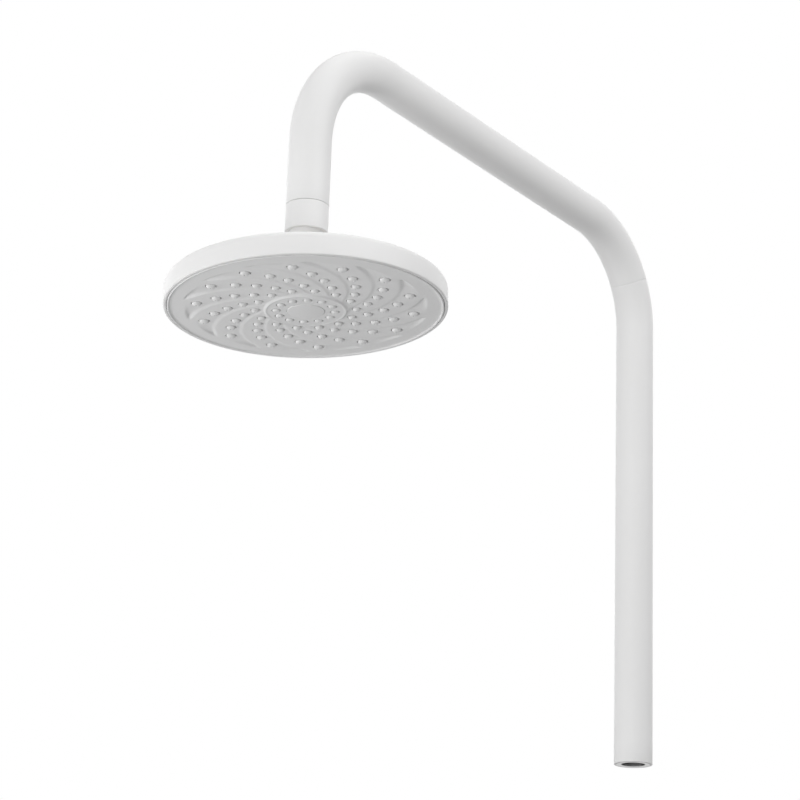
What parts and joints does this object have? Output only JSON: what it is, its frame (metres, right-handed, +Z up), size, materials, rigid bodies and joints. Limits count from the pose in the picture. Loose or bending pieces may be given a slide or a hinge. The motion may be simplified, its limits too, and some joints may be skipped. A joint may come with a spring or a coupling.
{
  "type": "shower column",
  "caption": "White shower column top: round riser, bent overhead arm and a flat round rain head on a ball joint, with a pale face of curved nozzle rows.",
  "frame": {"origin": "centre of the riser's lower end face", "axes": "+Z up along the riser, the arm reaches to -Y, the wall side is +Y, +X completes the right hand"},
  "size_m": [0.1943, 0.542, 0.4605],
  "materials": {
    "white_finish": "gloss white",
    "white_shell": "gloss white",
    "face_grey": "satin off-white",
    "nozzle_silicone": "soft satin",
    "grey_plastic": "matt",
    "seal_rubber": "matt",
    "brass": "turned",
    "steel": "turned"
  },
  "bodies": {
    "column": {"riser_tube": "white_finish", "arm_tube": "white_finish", "joint_sleeve": "brass", "inlet_bush": "steel", "inlet_seal": "seal_rubber", "outlet_nipple": "brass", "seat_seal": "seal_rubber", "flow_regulator": "grey_plastic", "regulator_seal": "seal_rubber", "swivel_collar": "white_finish"},
    "swivel": {"ball_seat": "grey_plastic"},
    "head": {"ball_stud": "white_finish", "boss_insert": "brass", "stud_seal": "seal_rubber", "head_filter": "steel", "head_casing": "white_shell", "chamber_plate": "grey_plastic", "plate_screws": "steel", "chamber_seal": "seal_rubber", "nozzle_mat": "nozzle_silicone", "face_plate": "face_grey", "centre_screw": "steel", "centre_cap": "face_grey"}
  },
  "joints": [
    {"name": "head_swivel", "type": "hinge", "parent": "column", "child": "swivel", "pos_m": [0, -0.43, 0.30251], "axis": [0, 0, 1], "continuous": true},
    {"name": "head_tilt", "type": "hinge", "parent": "swivel", "child": "head", "pos_m": [0, -0.43, 0.30251], "axis": [0, -1, 0], "range_deg": [-20, 15]}
  ]
}
